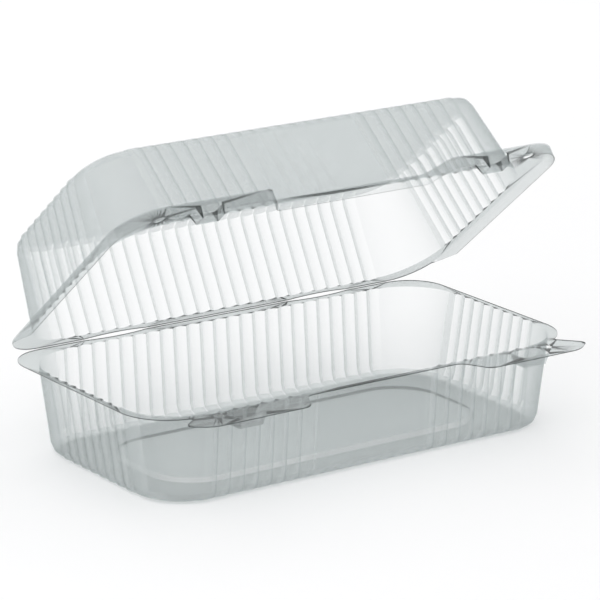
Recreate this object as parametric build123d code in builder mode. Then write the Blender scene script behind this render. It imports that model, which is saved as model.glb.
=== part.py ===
from build123d import *
import math
import os

# Clear clamshell food container, thermoformed from one sheet and folded along a rear hinge.
# Millimetres. X runs along the hinge, -Y is the front with the snap tabs, +Z is up.
# The lid is drawn shut, over the middle of the tray, then swung open. The origin is on the
# surface that the tray stands on, in the middle of the footprint of the open container.

# ---- sheet and overall sizes ----
sheet = 0.4                     # plastic thickness
rim_half_length = 120.0         # creases of the end walls, at the rim
rim_half_width = 62.0           # creases of the front and rear walls, at the rim
tray_height = 44.0              # underside to the top of the tray flange
lid_height = 44.5               # lid flange to the lid's top

# ---- fluted walls ----
long_pitch = rim_half_length * 0.065    # one flute of the front and rear walls
end_pitch = rim_half_width * 0.1274     # one flute of the end walls
long_flutes = 24
end_flutes = 8
panel_flutes = 10               # the front's plain panel takes the place of this many
flute_depth = 1.4               # how far a flute bulges past its creases
panel_crown = 0.05              # the plain panel is very slightly domed along each pitch
edge_radius = 5.0               # between the walls and the floor, or the lid's top
tray_end_taper = 6.0            # how far each wall leans in from the rim to its edge radius
tray_side_taper = 3.0
lid_end_taper = 6.0
lid_side_taper = 8.0

# ---- raised middle of the floor, and of the lid's top ----
floor_panel_margin_x = 27.0     # from the rim crease to the panel's edge
floor_panel_margin_y = 26.0
floor_panel_radius = 25.0
floor_panel_rise = 2.0
panel_slope = 45.0

# ---- flanges ----
flange_width = 3.5              # front and ends, beyond the flute crests
hinge_flange_width = 6.9        # rear, from the rim creases to the hinge line
rear_corner_radius = 20.0
front_corner_radius = 32.0
hinge_gap = 0.6                 # between the two halves along the fold
closing_gap = 0.2               # between the two flanges when shut
hinge_slot_length = 38.0        # lens-shaped openings in the fold
hinge_slot_width = 4.4
hinge_slot_x = 60.0             # middle of each opening

# ---- front tabs ----
tab_shift = 5.0                 # the pair of tabs stands this far right of the middle
tab_reach = 14.5                # past the flange's front edge
tab_ramp_start = 44.5           # the inner end of each tab, measured from the pair's middle
tab_ramp_run = 7.5
tab_outer_corner = 106.0
tab_tip = 116.0
tab_tip_back = 8.0              # the tip lies this far behind the tab's front edge
tab_notch = 105.5               # where the tab leaves the flange's corner
tab_ramp_radius = 6.0
tab_outer_radius = 14.0
tab_tip_radius = 3.0
tab_notch_radius = 1.5
tray_corner_fillet = 26.0

# ---- snaps ----
pocket_length = 16.0
pocket_width = 11.5
pocket_depth = 5.2
pocket_slope = 18.0
pocket_radius = 2.0
pocket_place = 82.0             # from the middle of the pair of tabs
pocket_back = 9.3               # the pocket's middle, behind the tab's front edge
snap_clearance = 0.35
snap_bottom_gap = 0.3
tray_button_place = 94.5
lid_button_place = 106.0
button_back = 12.5
button_radius = 3.0
button_height = 1.0
button_slope = 30.0

# ---- lid skirt ----
skirt_height = 5.2
skirt_clearance = 1.3           # between the tray's edge and the inside of the skirt
skirt_corner_radius = 20.0
skirt_taper_start = 34.0        # the skirt fades out between these two places
skirt_taper_end = 55.0

# ---- lid swing ----
open_angle = 39.3               # how far the lid stands open

# ---- worked out from the above ----
flange_half_length = rim_half_length + flange_width + sheet
flange_front = rim_half_width + flange_width
hinge_y = rim_half_width + hinge_flange_width
hinge_z = tray_height + closing_gap / 2
tab_front = flange_front + tab_reach
lid_rim_z = tray_height + closing_gap
tray_panel_x = rim_half_length - floor_panel_margin_x
tray_panel_y = rim_half_width - floor_panel_margin_y
ramp_angle = math.atan2(tab_reach, tab_ramp_run)
overcut = 1.0


def flute_run(points, bulge_x, bulge_y):
    """One fully fluted wall of a section: an arc over each flute."""
    for start, end in zip(points, points[1:]):
        middle = ((start[0] + end[0]) / 2 + bulge_x, (start[1] + end[1]) / 2 + bulge_y)
        ThreePointArc(start, middle, end)


def front_points(half_width, plain_panel):
    """Creases along the front wall. Over the plain panel they move out to the flute crests."""
    half_count = long_flutes // 2
    points = []
    for crease in range(-half_count, half_count + 1):
        inside_panel = plain_panel and abs(crease) < panel_flutes // 2
        depth = half_width + flute_depth if inside_panel else half_width
        points.append((crease * long_pitch, -depth))
    return points


def wall_section(half_length, half_width, plain_panel):
    """Closed outline of the fluted walls at one height, as a face."""
    side_x = long_pitch * long_flutes / 2
    end_y = end_pitch * end_flutes / 2
    corner_x = side_x + (half_length - side_x) * math.cos(math.pi / 4)
    corner_y = end_y + (half_width - end_y) * math.sin(math.pi / 4)
    creases = [(number - end_flutes / 2) * end_pitch for number in range(end_flutes + 1)]
    front = front_points(half_width, plain_panel)
    first_step = (long_flutes - panel_flutes) // 2
    last_step = first_step + panel_flutes - 1
    with BuildLine() as outline:
        for number, (start, end) in enumerate(zip(front, front[1:])):
            bulge = flute_depth
            across = 0.5
            if plain_panel and number in (first_step, last_step):
                bulge = 0.8 * flute_depth
                across = 0.3 if number == first_step else 0.7
            elif plain_panel and first_step < number < last_step:
                bulge = panel_crown
            base_y = max(start[1], end[1])
            middle = (start[0] + across * (end[0] - start[0]), base_y - bulge)
            ThreePointArc(start, middle, end)
        ThreePointArc((side_x, -half_width), (corner_x, -corner_y), (half_length, -end_y))
        flute_run([(half_length, y) for y in creases], flute_depth, 0)
        ThreePointArc((half_length, end_y), (corner_x, corner_y), (side_x, half_width))
        flute_run([(-x, half_width) for x, _ in front], 0, flute_depth)
        ThreePointArc((-side_x, half_width), (-corner_x, corner_y), (-half_length, end_y))
        flute_run([(-half_length, -y) for y in creases], -flute_depth, 0)
        ThreePointArc((-half_length, -end_y), (-corner_x, -corner_y), (-side_x, -half_width))
    make_face(outline.edges())


def wall_levels(height, end_taper, side_taper, skin):
    """Heights and insets of the wall's sections, floor first. The skin is 0 outside."""
    bend = edge_radius * (1 - math.sin(math.pi / 4))
    diagonal = skin * math.sin(math.pi / 4)
    levels = [(skin, edge_radius, 0.0, False)]
    levels.append((bend + diagonal, bend + diagonal, 0.0, False))
    levels.append((edge_radius, skin, 0.0, True))
    rows = []
    for z, inset, _, plain in levels:
        rows.append((z, end_taper + inset, side_taper + inset, plain))
    top = height + (overcut if skin else 0.0)
    beyond = (top - height) / (height - edge_radius)
    rows.append((top, skin - end_taper * beyond, skin - side_taper * beyond, True))
    return rows


def flange_corner(notch_x):
    """Where the flange's rounded front corner passes the notch, and its tangent's far end."""
    centre_x = flange_half_length - front_corner_radius
    centre_y = front_corner_radius - flange_front
    across = notch_x - centre_x
    down = math.sqrt(front_corner_radius ** 2 - across ** 2)
    corner_y = centre_y - down + (flange_half_length - notch_x) * across / down
    return centre_y - down, corner_y


def tray_side_points(side):
    """Outline of one half of the tray's flange, from the front's middle to the hinge."""
    notch_x = tab_notch + side * tab_shift
    notch_y, corner_y = flange_corner(notch_x)
    shift = side * tab_shift
    points = [
        (shift + tab_ramp_start, -flange_front, tab_ramp_radius),
        (shift + tab_ramp_start + tab_ramp_run, -tab_front, tab_ramp_radius),
        (shift + tab_outer_corner, -tab_front, tab_outer_radius),
        (shift + tab_tip, tab_tip_back - tab_front, tab_tip_radius),
        (notch_x, notch_y, tab_notch_radius),
        (flange_half_length, corner_y, tray_corner_fillet),
        (flange_half_length, hinge_y - hinge_gap / 2, rear_corner_radius),
    ]
    return [(side * x, y, radius) for x, y, radius in points]


def lid_side_points(side, grow):
    """Outline of one half of the lid's flange, grown past the tray's by the given amount."""
    shift = side * tab_shift
    ramp_x = shift + tab_ramp_start - grow * math.tan(ramp_angle / 2)
    points = [
        (ramp_x, -flange_front - grow, tab_ramp_radius - grow),
        (ramp_x + tab_ramp_run, -tab_front - grow, tab_ramp_radius + grow),
        (flange_half_length + grow, -tab_front - grow, skirt_corner_radius + grow),
        (flange_half_length + grow, hinge_y - hinge_gap / 2, rear_corner_radius + grow),
    ]
    return [(side * x, y, radius) for x, y, radius in points]


def outline_face(right, left):
    """Face inside a rounded outline, given its right half and its left half, front first."""
    corners = right + left[::-1]
    with BuildLine() as outline:
        FilletPolyline(
            *[(x, y) for x, y, _ in corners],
            radius=[radius for _, _, radius in corners],
            close=True,
        )
    make_face(outline.edges())


def slot_outline():
    """The two lens-shaped openings in the fold."""
    for centre_x in (-hinge_slot_x, hinge_slot_x):
        left = (centre_x - hinge_slot_length / 2, hinge_y)
        right = (centre_x + hinge_slot_length / 2, hinge_y)
        with BuildLine() as outline:
            ThreePointArc(left, (centre_x, hinge_y - hinge_slot_width / 2), right)
            ThreePointArc(right, (centre_x, hinge_y + hinge_slot_width / 2), left)
        make_face(outline.edges())


def tab_places(distance, back):
    """A place on each tab, from the middle of the pair and from the tabs' front edge."""
    front_y = back - tab_front
    return [(tab_shift - distance, front_y), (tab_shift + distance, front_y)]


snap_sites = tab_places(pocket_place, pocket_back)
tray_button_sites = tab_places(tray_button_place, button_back)
lid_button_sites = tab_places(lid_button_place, button_back)
pocket_growth = sheet / math.cos(math.radians(pocket_slope))
pocket_corner = pocket_radius + sheet
plug_length = pocket_length - 2 * snap_clearance
plug_width = pocket_width - 2 * snap_clearance
plug_depth = pocket_depth + closing_gap - snap_bottom_gap

# ---- tray ----
with BuildPart() as tray:
    # outside of the walls and the floor
    for z, end_inset, side_inset, plain in wall_levels(tray_height, tray_end_taper, tray_side_taper, 0.0):
        with BuildSketch(Plane.XY.offset(z)):
            wall_section(rim_half_length - end_inset, rim_half_width - side_inset, plain)
    loft(ruled=True)
    # flange with both tabs
    with BuildSketch(Plane.XY.offset(tray_height - sheet)):
        outline_face(tray_side_points(1), tray_side_points(-1))
    extrude(amount=sheet)
    # snap pockets under the tabs, still solid
    with BuildSketch(Plane.XY.offset(tray_height)):
        with Locations(*snap_sites):
            RectangleRounded(pocket_length + 2 * pocket_growth, pocket_width + 2 * pocket_growth, pocket_corner)
    extrude(amount=-pocket_depth - sheet, taper=pocket_slope)
    # the space inside
    for z, end_inset, side_inset, plain in wall_levels(tray_height, tray_end_taper, tray_side_taper, sheet):
        with BuildSketch(Plane.XY.offset(z)):
            wall_section(rim_half_length - end_inset, rim_half_width - side_inset, plain)
    loft(ruled=True, mode=Mode.SUBTRACT)
    # hollow of each pocket
    with BuildSketch(Plane.XY.offset(tray_height)):
        with Locations(*snap_sites):
            RectangleRounded(pocket_length, pocket_width, pocket_radius)
    extrude(amount=-pocket_depth, taper=pocket_slope, mode=Mode.SUBTRACT)
    # raised middle of the floor: its upper face, then the hollow beneath it
    panel_skin = sheet / math.cos(math.radians(panel_slope))
    with BuildSketch():
        RectangleRounded(
            2 * (tray_panel_x + panel_skin), 2 * (tray_panel_y + panel_skin), floor_panel_radius + panel_skin
        )
    extrude(amount=floor_panel_rise + sheet, taper=panel_slope)
    with BuildSketch():
        RectangleRounded(2 * tray_panel_x, 2 * tray_panel_y, floor_panel_radius)
    extrude(amount=floor_panel_rise, taper=panel_slope, mode=Mode.SUBTRACT)
    # dimple beside each pocket
    with BuildSketch(Plane.XY.offset(tray_height)):
        with Locations(*tray_button_sites):
            Circle(button_radius + sheet)
    extrude(amount=-button_height - sheet, taper=button_slope)
    with BuildSketch(Plane.XY.offset(tray_height)):
        with Locations(*tray_button_sites):
            Circle(button_radius)
    extrude(amount=-button_height, taper=button_slope, mode=Mode.SUBTRACT)
    # openings in the fold
    with BuildSketch(Plane.XY.offset(tray_height - sheet - overcut)):
        slot_outline()
    extrude(amount=sheet + 2 * overcut, mode=Mode.SUBTRACT)

# ---- lid, drawn shut on the tray ----
lid_grow = skirt_clearance + sheet
with BuildPart() as shut_lid:
    # outside of the walls and the top, from the top down
    for depth, end_inset, side_inset, plain in wall_levels(lid_height, lid_end_taper, lid_side_taper, 0.0):
        with BuildSketch(Plane.XY.offset(lid_rim_z + lid_height - depth)):
            wall_section(rim_half_length - end_inset, rim_half_width - side_inset, plain)
    loft(ruled=True)
    # flange, with a skirt turned down along its edge
    with BuildSketch(Plane.XY.offset(lid_rim_z + sheet)):
        outline_face(lid_side_points(1, lid_grow), lid_side_points(-1, lid_grow))
    extrude(amount=-skirt_height - sheet)
    with BuildSketch(Plane.XY.offset(lid_rim_z)):
        outline_face(lid_side_points(1, skirt_clearance), lid_side_points(-1, skirt_clearance))
    extrude(amount=-skirt_height - overcut, mode=Mode.SUBTRACT)
    # the skirt fades out towards the hinge
    with BuildSketch(Plane.YZ.offset(-rim_half_length * 2)):
        with BuildLine():
            Polyline(
                (skirt_taper_start, lid_rim_z - skirt_height),
                (skirt_taper_end, lid_rim_z),
                (hinge_y + overcut, lid_rim_z),
                (hinge_y + overcut, lid_rim_z - skirt_height - overcut),
                (skirt_taper_start, lid_rim_z - skirt_height - overcut),
                close=True,
            )
        make_face()
    extrude(amount=rim_half_length * 4, mode=Mode.SUBTRACT)
    # snap plugs under the tabs, still solid
    with BuildSketch(Plane.XY.offset(lid_rim_z)):
        with Locations(*snap_sites):
            RectangleRounded(plug_length, plug_width, pocket_radius)
    extrude(amount=-plug_depth, taper=pocket_slope)
    # the space inside
    for depth, end_inset, side_inset, plain in wall_levels(lid_height, lid_end_taper, lid_side_taper, sheet):
        with BuildSketch(Plane.XY.offset(lid_rim_z + lid_height - depth)):
            wall_section(rim_half_length - end_inset, rim_half_width - side_inset, plain)
    loft(ruled=True, mode=Mode.SUBTRACT)
    # hollow of each plug, open upwards
    with BuildSketch(Plane.XY.offset(lid_rim_z + sheet)):
        with Locations(*snap_sites):
            RectangleRounded(plug_length - sheet, plug_width - sheet, pocket_radius - sheet / 2)
    extrude(amount=-plug_depth, taper=pocket_slope, mode=Mode.SUBTRACT)
    # button on each tab
    with BuildSketch(Plane.XY.offset(lid_rim_z)):
        with Locations(*lid_button_sites):
            Circle(button_radius + sheet)
    extrude(amount=button_height + sheet, taper=button_slope)
    with BuildSketch(Plane.XY.offset(lid_rim_z)):
        with Locations(*lid_button_sites):
            Circle(button_radius)
    extrude(amount=button_height, taper=button_slope, mode=Mode.SUBTRACT)
    # openings in the fold
    with BuildSketch(Plane.XY.offset(lid_rim_z - overcut)):
        slot_outline()
    extrude(amount=sheet + 2 * overcut, mode=Mode.SUBTRACT)

# ---- the lid swung open about the fold ----
hinge_line = Axis((0, hinge_y, hinge_z), (1, 0, 0))
lid_open = shut_lid.part.rotate(hinge_line, -open_angle)
footprint_middle = (tray.part.bounding_box().min.Y + lid_open.bounding_box().max.Y) / 2
to_origin = Pos(0, -footprint_middle, 0)
standing_tray = to_origin * tray.part
standing_lid = to_origin * lid_open

standing_tray.label = "tray"
standing_lid.label = "lid"

os.makedirs("parts", exist_ok=True)
export_step(standing_tray, "parts/tray.step")
export_step(standing_lid, "parts/lid.step")

print("tray", standing_tray.is_valid, round(standing_tray.volume, 1), standing_tray.bounding_box())
print("lid", standing_lid.is_valid, round(standing_lid.volume, 1), standing_lid.bounding_box())
print("hinge line at y", hinge_y - footprint_middle, "z", hinge_z)
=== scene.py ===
# %% [markdown]
# # Clear hinged food container
# The object is one sheet of clear plastic, vacuum formed into a fluted tray and a fluted lid.
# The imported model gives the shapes, the real size and the swing of the lid.
# This script adds the finish of the plastic, a strip at the fold, the studio and the camera.

import math

import bpy
from mathutils import Matrix, Vector


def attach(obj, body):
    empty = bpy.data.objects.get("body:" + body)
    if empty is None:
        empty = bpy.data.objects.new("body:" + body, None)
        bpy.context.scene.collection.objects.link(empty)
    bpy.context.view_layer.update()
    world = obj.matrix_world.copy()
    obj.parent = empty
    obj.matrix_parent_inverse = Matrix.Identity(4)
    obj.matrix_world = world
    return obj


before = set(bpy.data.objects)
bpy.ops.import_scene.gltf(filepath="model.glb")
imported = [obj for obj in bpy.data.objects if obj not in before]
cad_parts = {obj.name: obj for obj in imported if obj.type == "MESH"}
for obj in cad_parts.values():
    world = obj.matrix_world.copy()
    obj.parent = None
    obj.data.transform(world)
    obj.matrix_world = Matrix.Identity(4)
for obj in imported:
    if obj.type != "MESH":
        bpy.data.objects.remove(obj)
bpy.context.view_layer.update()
scene = bpy.context.scene

# %% [markdown]
# ## Measurements that the looks need
# The fold line runs along X behind the tray, and the lid stands open by this angle.
# Both are needed to find the trimmed edges of the lid and to lay the strip at the fold.
# The two long openings beside the middle of the fold make it easy to bend on one straight line.

# %% Fold line and opening
HINGE_Y = 0.06658
HINGE_Z = 0.0441
OPEN_ANGLE = math.radians(39.3)
FOLD_HALF_LENGTH = 0.1035
OPENING_X = 0.060
OPENING_HALF_LENGTH = 0.019
STRIP_REACH = 0.0004
STRIP_DROP = 0.0002
print("fold line:", HINGE_Y, HINGE_Z)

# %% [markdown]
# ## Trim measurements
# The sheet is cut after forming, and the cut is one sheet thick, about 0.4 mm.
# Each half has its cut within a band of height, measured with that half lying shut.

# %% Bands that hold the cut
WIDEST_CUT_FACE = 0.00046
TRAY_CUT_BAND = (0.0435, 0.0441)
LID_CUT_BAND = (0.0380, 0.0450)
print("bands that hold the cut, metres:", TRAY_CUT_BAND, LID_CUT_BAND)

# %% [markdown]
# ## A surface that is never quite flat
# A formed sheet keeps a slow waviness and patches that shine more or less.
# One soft noise drives both, through a shallow bump and the roughness of the gloss.


# %% Waviness of a formed sheet
def wavy_surface(tree):
    place = tree.nodes.new("ShaderNodeTexCoord")
    noise = tree.nodes.new("ShaderNodeTexNoise")
    noise.inputs["Scale"].default_value = 34.0
    noise.inputs["Detail"].default_value = 3.0
    tree.links.new(place.outputs["Object"], noise.inputs["Vector"])
    bump = tree.nodes.new("ShaderNodeBump")
    bump.inputs["Strength"].default_value = 0.25
    bump.inputs["Distance"].default_value = 0.0006
    tree.links.new(noise.outputs["Fac"], bump.inputs["Height"])
    return noise.outputs["Fac"], bump.outputs["Normal"]


def between(tree, source, lowest, highest):
    spread = tree.nodes.new("ShaderNodeMapRange")
    spread.inputs["To Min"].default_value = lowest
    spread.inputs["To Max"].default_value = highest
    tree.links.new(source, spread.inputs["Value"])
    return spread.outputs["Result"]


print("sheet waviness ready")

# %% [markdown]
# ## Clear plastic
# Thin clear sheet shows mostly what is behind it, and turns grey where it is seen edge on.
# So the see-through part is painted darker at a glancing angle; this painted shade stands in for
# that grey.
# A soft gloss is mixed in, and its share grows at a glancing angle too.


# %% Recipe for clear plastic
def clear_plastic(name, facing_tint_and_shade, glancing_shade, gloss_colour_and_shade, least_gloss, most_gloss):
    material = bpy.data.materials.new(name)
    material.use_nodes = True
    tree = material.node_tree
    tree.nodes.clear()
    noise, normal = wavy_surface(tree)
    weight = tree.nodes.new("ShaderNodeLayerWeight")
    weight.inputs["Blend"].default_value = 0.28
    tree.links.new(normal, weight.inputs["Normal"])
    # Painted shade: the see-through colour darkens from the facing colour to the glancing colour as
    # the surface turns edge on.
    see_through_colour_and_shade = tree.nodes.new("ShaderNodeValToRGB")
    see_through_colour_and_shade.color_ramp.elements[0].color = (*facing_tint_and_shade, 1)
    see_through_colour_and_shade.color_ramp.elements[1].color = (*glancing_shade, 1)
    tree.links.new(weight.outputs["Facing"], see_through_colour_and_shade.inputs["Fac"])
    through = tree.nodes.new("ShaderNodeBsdfTransparent")
    tree.links.new(see_through_colour_and_shade.outputs["Color"], through.inputs["Color"])
    gloss = tree.nodes.new("ShaderNodeBsdfPrincipled")
    gloss.inputs["Base Color"].default_value = (*gloss_colour_and_shade, 1)
    tree.links.new(between(tree, noise, 0.08, 0.22), gloss.inputs["Roughness"])
    tree.links.new(normal, gloss.inputs["Normal"])
    mix = tree.nodes.new("ShaderNodeMixShader")
    tree.links.new(between(tree, weight.outputs["Fresnel"], least_gloss, most_gloss), mix.inputs[0])
    tree.links.new(through.outputs["BSDF"], mix.inputs[1])
    tree.links.new(gloss.outputs["BSDF"], mix.inputs[2])
    out = tree.nodes.new("ShaderNodeOutputMaterial")
    tree.links.new(mix.outputs["Shader"], out.inputs["Surface"])
    return material


print("clear plastic recipe ready")

# %% [markdown]
# ## Clear sheet and painted dark edge
# The sheet is almost colourless, with a trace of cool grey.
# Light leaves a cut edge sideways, so the edge is given painted shade: a dark colour that lets
# little through.

# %% Make the clear sheet and the painted dark edge
# The facing colour of the sheet is its own trace of grey; its darker glancing colour is painted
# shade.
sheet_look = clear_plastic(
    "clear_sheet", (0.990, 0.993, 0.993), (0.70, 0.73, 0.73), (0.84, 0.87, 0.87), 0.03, 0.28
)
# Painted shade: every colour of the cut edge is dark, standing in for light that leaves the cut
# sideways.
painted_edge_shade = clear_plastic(
    "painted_dark_edge", (0.12, 0.15, 0.14), (0.05, 0.06, 0.06), (0.05, 0.06, 0.06), 0.80, 0.92
)
print("finishes:", sheet_look.name, painted_edge_shade.name)

# %% [markdown]
# ## Dress the two halves
# Each half keeps its imported shape and takes the clear finish.
# Narrow faces inside the band of the cut take the painted dark edge, painted shade for light that
# leaves the cut sideways.
# The lid is measured as if shut, because its cut is level only then.


# %% Find the cut and dress the halves
def face_width(mesh, face):
    corners = [mesh.vertices[i].co for i in face.vertices]
    longest = max((a - b).length for a, b in zip(corners, corners[1:] + corners[:1]))
    return (2 if len(corners) == 3 else 1) * face.area / longest


def dress(piece, to_shut, band):
    mesh = piece.data
    mesh.materials.clear()
    mesh.materials.append(sheet_look)
    mesh.materials.append(painted_edge_shade)
    place = to_shut @ piece.matrix_world
    count = 0
    for face in mesh.polygons:
        face.use_smooth = True
        heights = [(place @ mesh.vertices[i].co).z for i in face.vertices]
        in_band = band[0] < min(heights) and max(heights) < band[1]
        if in_band and face_width(mesh, face) < WIDEST_CUT_FACE:
            # Painted shade: a narrow face in the band of the cut takes the dark edge colour.
            face.material_index = 1
            count += 1
    print(piece.name, "faces with the painted dark edge:", count)


bpy.context.view_layer.update()
fold = Matrix.Translation((0, HINGE_Y, HINGE_Z))
shut = fold @ Matrix.Rotation(OPEN_ANGLE, 4, "X") @ fold.inverted()
dress(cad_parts["tray"], Matrix.Identity(4), TRAY_CUT_BAND)
dress(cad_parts["lid"], shut, LID_CUT_BAND)

# %% [markdown]
# ## Strip at the fold
# In life the two halves are one sheet, joined along the fold.
# A narrow strip marks the fold. It rides with the tray and doesn't reach the edge of the lid.
# It is left out at the two long openings.

# %% Lay the strip
stops = [-FOLD_HALF_LENGTH]
for middle in (-OPENING_X, OPENING_X):
    stops += [middle - OPENING_HALF_LENGTH, middle + OPENING_HALF_LENGTH]
stops.append(FOLD_HALF_LENGTH)
profile = [
    (-STRIP_REACH, -STRIP_DROP),
    (0.0, 0.0),
    (STRIP_REACH * math.cos(OPEN_ANGLE), STRIP_REACH * math.sin(OPEN_ANGLE)),
]
verts = []
faces = []
for left, right in zip(stops[::2], stops[1::2]):
    first = len(verts)
    for x in (left, right):
        verts += [(x, HINGE_Y + y, HINGE_Z + z) for y, z in profile]
    faces.append((first, first + 1, first + 4, first + 3))
    faces.append((first + 1, first + 2, first + 5, first + 4))
strip_mesh = bpy.data.meshes.new("fold film")
strip_mesh.from_pydata(verts, [], faces)
strip_mesh.materials.append(sheet_look)
strip = bpy.data.objects.new("fold_film", strip_mesh)
scene.collection.objects.link(strip)
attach(strip, "base")
print("lengths of strip:", len(faces) // 2)

# %% [markdown]
# ## Floor and surround
# A pale floor and a white surround suit a clear object, which takes its tone from what is behind it.
# The floor lies just under the container, so the two surfaces never coincide.

# %% Floor and white surround
bpy.ops.mesh.primitive_plane_add(size=14, location=(0, 0, -0.0006))
floor = bpy.context.object
floor.name = "studio floor"
floor_look = bpy.data.materials.new("pale floor")
floor_look.use_nodes = True
floor_paint = floor_look.node_tree.nodes["Principled BSDF"]
floor_paint.inputs["Base Color"].default_value = (0.92, 0.92, 0.925, 1)
floor_paint.inputs["Roughness"].default_value = 0.9
floor.data.materials.append(floor_look)
world = bpy.data.worlds.new("white studio")
scene.world = world
world.use_nodes = True
surround = world.node_tree.nodes["Background"]
surround.inputs["Color"].default_value = (1, 1, 1, 1)
surround.inputs["Strength"].default_value = 0.9
print("floor side, metres:", floor.dimensions.x)

# %% [markdown]
# ## Lamps
# Two large soft lamps, one from the front left and one from behind, keep the gloss gentle.
# Their size in metres is close to their distance, which softens every highlight.


# %% Two soft lamps
def soft_lamp(name, place, size, power):
    lamp = bpy.data.lights.new(name, "AREA")
    lamp.size = size
    lamp.energy = power
    stand = bpy.data.objects.new(name, lamp)
    stand.location = place
    stand.rotation_euler = (-Vector(place)).to_track_quat("-Z", "Y").to_euler()
    scene.collection.objects.link(stand)
    print(name, "watts:", lamp.energy)


soft_lamp("left lamp", (-0.9, -0.6, 1.1), 0.9, 4.0)
soft_lamp("back lamp", (0.5, 1.1, 1.2), 1.2, 4.0)

# %% [markdown]
# ## Camera
# A long lens from the front left, a little above the rim, shows the inside and the open lid.
# Its distance keeps the long edges nearly parallel in the picture.

# %% Camera
camera_data = bpy.data.cameras.new("camera")
camera_data.sensor_width = 36
camera_data.lens = 219.16
camera = bpy.data.objects.new("camera", camera_data)
camera.location = (-0.95995, -1.38637, 0.55482)
line_of_sight = Vector((0.54821, 0.78887, -0.27776))
camera.rotation_euler = line_of_sight.to_track_quat("-Z", "Y").to_euler()
scene.collection.objects.link(camera)
scene.camera = camera
scene.view_settings.view_transform = "Standard"
print("camera lens, mm:", camera_data.lens)
